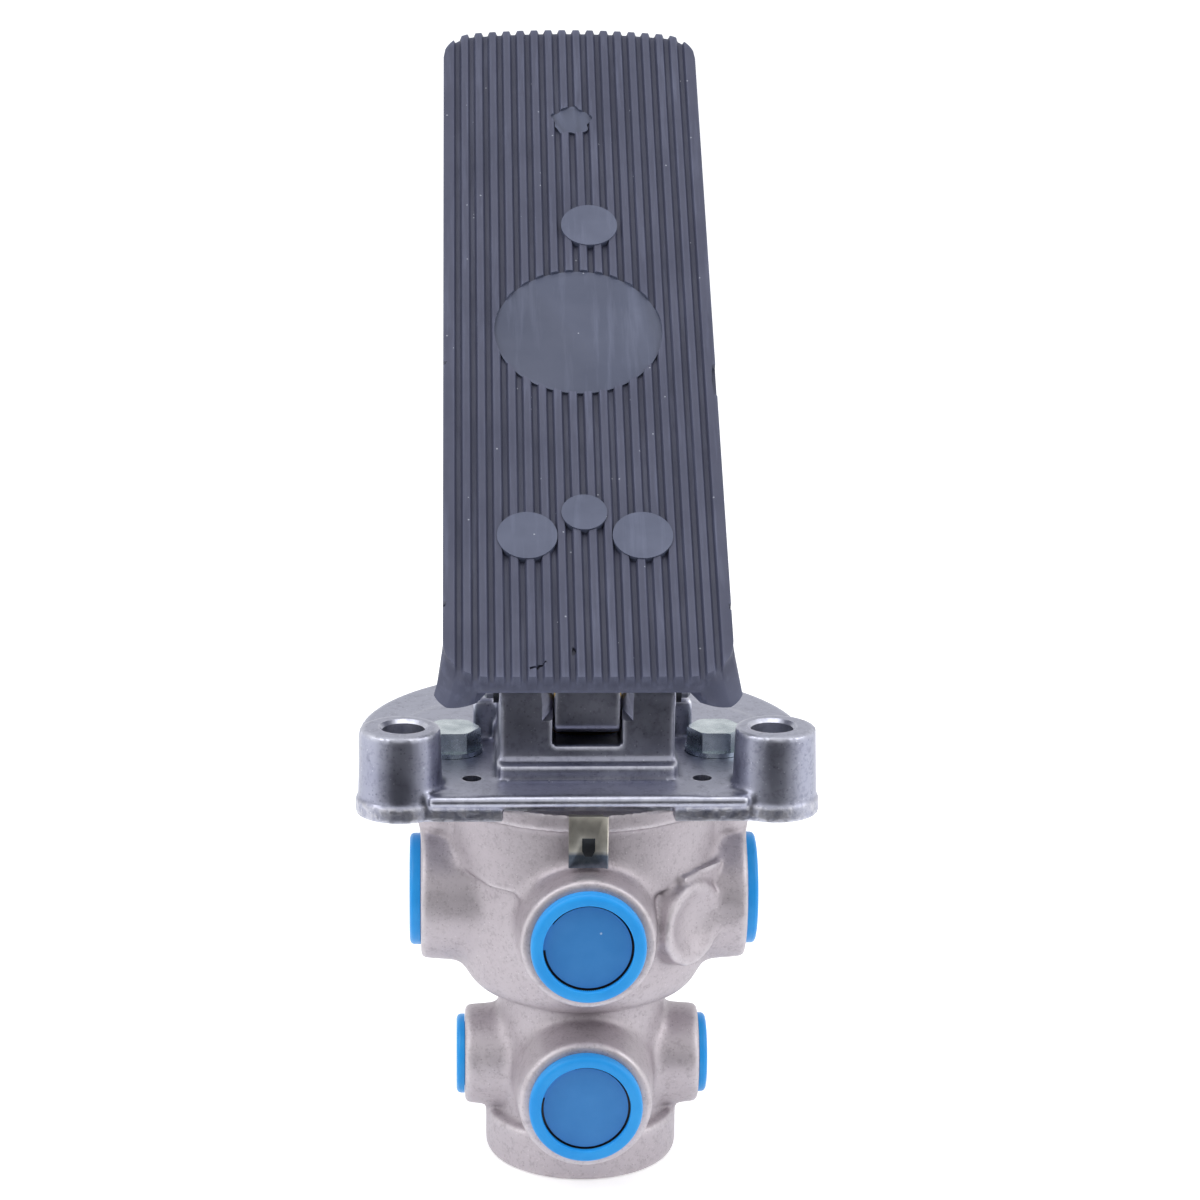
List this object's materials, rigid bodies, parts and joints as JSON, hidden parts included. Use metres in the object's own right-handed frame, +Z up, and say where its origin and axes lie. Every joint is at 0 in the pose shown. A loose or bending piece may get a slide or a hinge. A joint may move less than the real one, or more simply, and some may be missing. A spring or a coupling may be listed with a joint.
{
  "type": "foot brake valve",
  "caption": "Foot brake valve: a ribbed treadle hinged on a cast base plate presses a plunger into a dual-circuit air valve hanging below it.",
  "frame": {"origin": "where the valve's axis meets the mounting face under the base plate", "axes": "+Z up along the valve's axis, +Y from the treadle's heel towards its toe, +X to the right"},
  "size_m": [0.121, 0.2194, 0.286],
  "materials": {
    "cast_bracket": "smooth die-cast aluminium, worn bright at its edges",
    "cast_body": "sand-textured cast aluminium",
    "turned_aluminium": "fine turned",
    "zinc_steel": "bright zinc plated",
    "bare_steel": "ground steel",
    "black_spring_steel": "oil-blacked spring steel",
    "clip_steel": "polished strip steel",
    "brass": "machined",
    "pad_rubber": "ribbed slate-coloured rubber, scuffed on the ribs",
    "black_rubber": "moulded rubber",
    "blue_plastic": "smooth bright blue polyethylene",
    "black_plastic": "moulded plastic"
  },
  "bodies": {
    "root": {"base_plate": "cast_bracket", "valve_body": "cast_body", "body_seal_ring": "black_rubber", "flange_bolts": "zinc_steel", "flange_washers": "zinc_steel", "spring_clip": "clip_steel", "plunger_bush": "brass", "hinge_pin": "bare_steel", "hinge_circlips": "black_spring_steel", "plunger_boot": "black_rubber", "graduating_spring": "black_rubber", "upper_return_spring": "bare_steel", "primary_valve_spring": "bare_steel", "primary_valve_guide": "turned_aluminium", "primary_guide_seal": "black_rubber", "primary_guide_circlip": "black_spring_steel", "relay_spring": "bare_steel", "secondary_seat": "brass", "secondary_valve_spring": "bare_steel", "secondary_valve_guide": "turned_aluminium", "secondary_guide_seal": "black_rubber", "secondary_guide_circlip": "black_spring_steel", "exhaust_cover": "black_plastic", "exhaust_flap": "black_rubber"},
    "treadle": {"hinge_bush": "brass", "treadle_plate": "cast_bracket", "rubber_pad": "pad_rubber", "roller_pin": "bare_steel"},
    "roller": {"roller": "bare_steel"},
    "plunger": {"plunger": "bare_steel", "spring_seat": "zinc_steel", "seat_screw": "zinc_steel"},
    "upper_piston": {"upper_piston": "turned_aluminium", "upper_piston_seal": "black_rubber"},
    "primary_valve": {"primary_valve": "black_rubber"},
    "relay_piston": {"relay_piston": "turned_aluminium", "relay_piston_seal": "black_rubber"},
    "secondary_valve": {"secondary_valve": "black_rubber"},
    "cap_upper_front": {"cap_upper_front": "blue_plastic"},
    "cap_upper_left": {"cap_upper_left": "blue_plastic"},
    "cap_upper_right": {"cap_upper_right": "blue_plastic"},
    "cap_lower_front": {"cap_lower_front": "blue_plastic"},
    "cap_lower_left": {"cap_lower_left": "blue_plastic"},
    "cap_lower_right": {"cap_lower_right": "blue_plastic"}
  },
  "joints": [
    {"name": "treadle_hinge", "type": "hinge", "parent": "root", "child": "treadle", "pos_m": [0, -0.0173, 0.0313], "axis": [-1, 0, 0], "range_deg": [0, 18], "stiffness_Nm_per_rad": 20, "springref_deg": -8.59},
    {"name": "roller_spin", "type": "hinge", "parent": "treadle", "child": "roller", "pos_m": [0, -0.00002, 0.03404], "axis": [1, 0, 0], "continuous": true},
    {"name": "plunger_slide", "type": "slide", "parent": "root", "child": "plunger", "axis": [0, 0, -1], "range_m": [0, 0.00548], "deforming": ["plunger_boot", "graduating_spring"]},
    {"name": "upper_piston_slide", "type": "slide", "parent": "root", "child": "upper_piston", "axis": [0, 0, -1], "range_m": [0, 0.003], "deforming": ["upper_return_spring"]},
    {"name": "primary_valve_slide", "type": "slide", "parent": "root", "child": "primary_valve", "axis": [0, 0, -1], "range_m": [0, 0.0019], "deforming": ["primary_valve_spring"]},
    {"name": "relay_piston_slide", "type": "slide", "parent": "root", "child": "relay_piston", "axis": [0, 0, -1], "range_m": [0, 0.0026], "deforming": ["relay_spring"]},
    {"name": "secondary_valve_slide", "type": "slide", "parent": "root", "child": "secondary_valve", "axis": [0, 0, -1], "range_m": [0, 0.0015], "deforming": ["secondary_valve_spring"]},
    {"name": "cap_upper_front_pull", "type": "slide", "parent": "root", "child": "cap_upper_front", "axis": [0, -1, 0], "range_m": [0, 0.03]},
    {"name": "cap_upper_left_pull", "type": "slide", "parent": "root", "child": "cap_upper_left", "axis": [-1, 0, 0], "range_m": [0, 0.03]},
    {"name": "cap_upper_right_pull", "type": "slide", "parent": "root", "child": "cap_upper_right", "axis": [1, 0, 0], "range_m": [0, 0.03]},
    {"name": "cap_lower_front_pull", "type": "slide", "parent": "root", "child": "cap_lower_front", "axis": [0, -1, 0], "range_m": [0, 0.03]},
    {"name": "cap_lower_left_pull", "type": "slide", "parent": "root", "child": "cap_lower_left", "axis": [-1, 0, 0], "range_m": [0, 0.03]},
    {"name": "cap_lower_right_pull", "type": "slide", "parent": "root", "child": "cap_lower_right", "axis": [1, 0, 0], "range_m": [0, 0.03]}
  ],
  "couplings": [
    {"joint": "plunger_slide", "follows": "treadle_hinge", "m_per_rad": 0.017428},
    {"joint": "upper_piston_slide", "follows": "treadle_hinge", "m_per_rad": 0.0095493},
    {"joint": "primary_valve_slide", "follows": "treadle_hinge", "m_per_rad": 0.0060479},
    {"joint": "relay_piston_slide", "follows": "treadle_hinge", "m_per_rad": 0.0082761},
    {"joint": "secondary_valve_slide", "follows": "treadle_hinge", "m_per_rad": 0.0047747}
  ]
}
